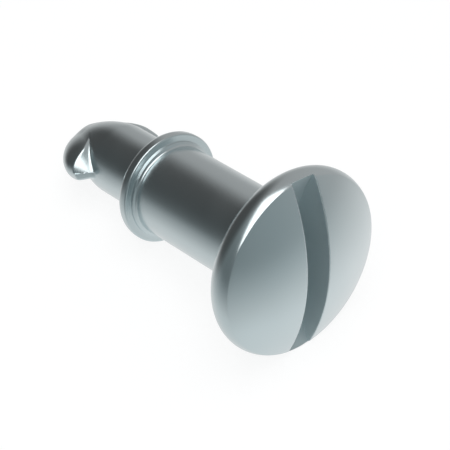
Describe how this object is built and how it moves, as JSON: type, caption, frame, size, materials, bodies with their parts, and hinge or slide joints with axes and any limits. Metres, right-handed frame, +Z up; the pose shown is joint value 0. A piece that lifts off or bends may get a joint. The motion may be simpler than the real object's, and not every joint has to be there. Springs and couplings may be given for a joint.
{
  "type": "quarter-turn fastener",
  "caption": "Quarter-turn fastener stud in plated steel, with a domed slotted head, a plain shank, a rounded collar and a winged cam tip.",
  "frame": {"origin": "centre of the part's footprint, on the surface it lies on", "axes": "+X along the stud from tip to head, +Y across it, +Z up; the stud lies on its head's rim and its collar's rim, so its axis rises 11.2 degrees towards the head"},
  "size_m": [0.0358, 0.019, 0.0187],
  "materials": {
    "plated_steel": "smooth bright zinc plating, slightly blue"
  },
  "bodies": {
    "root": {"stud": "plated_steel"}
  },
  "joints": []
}
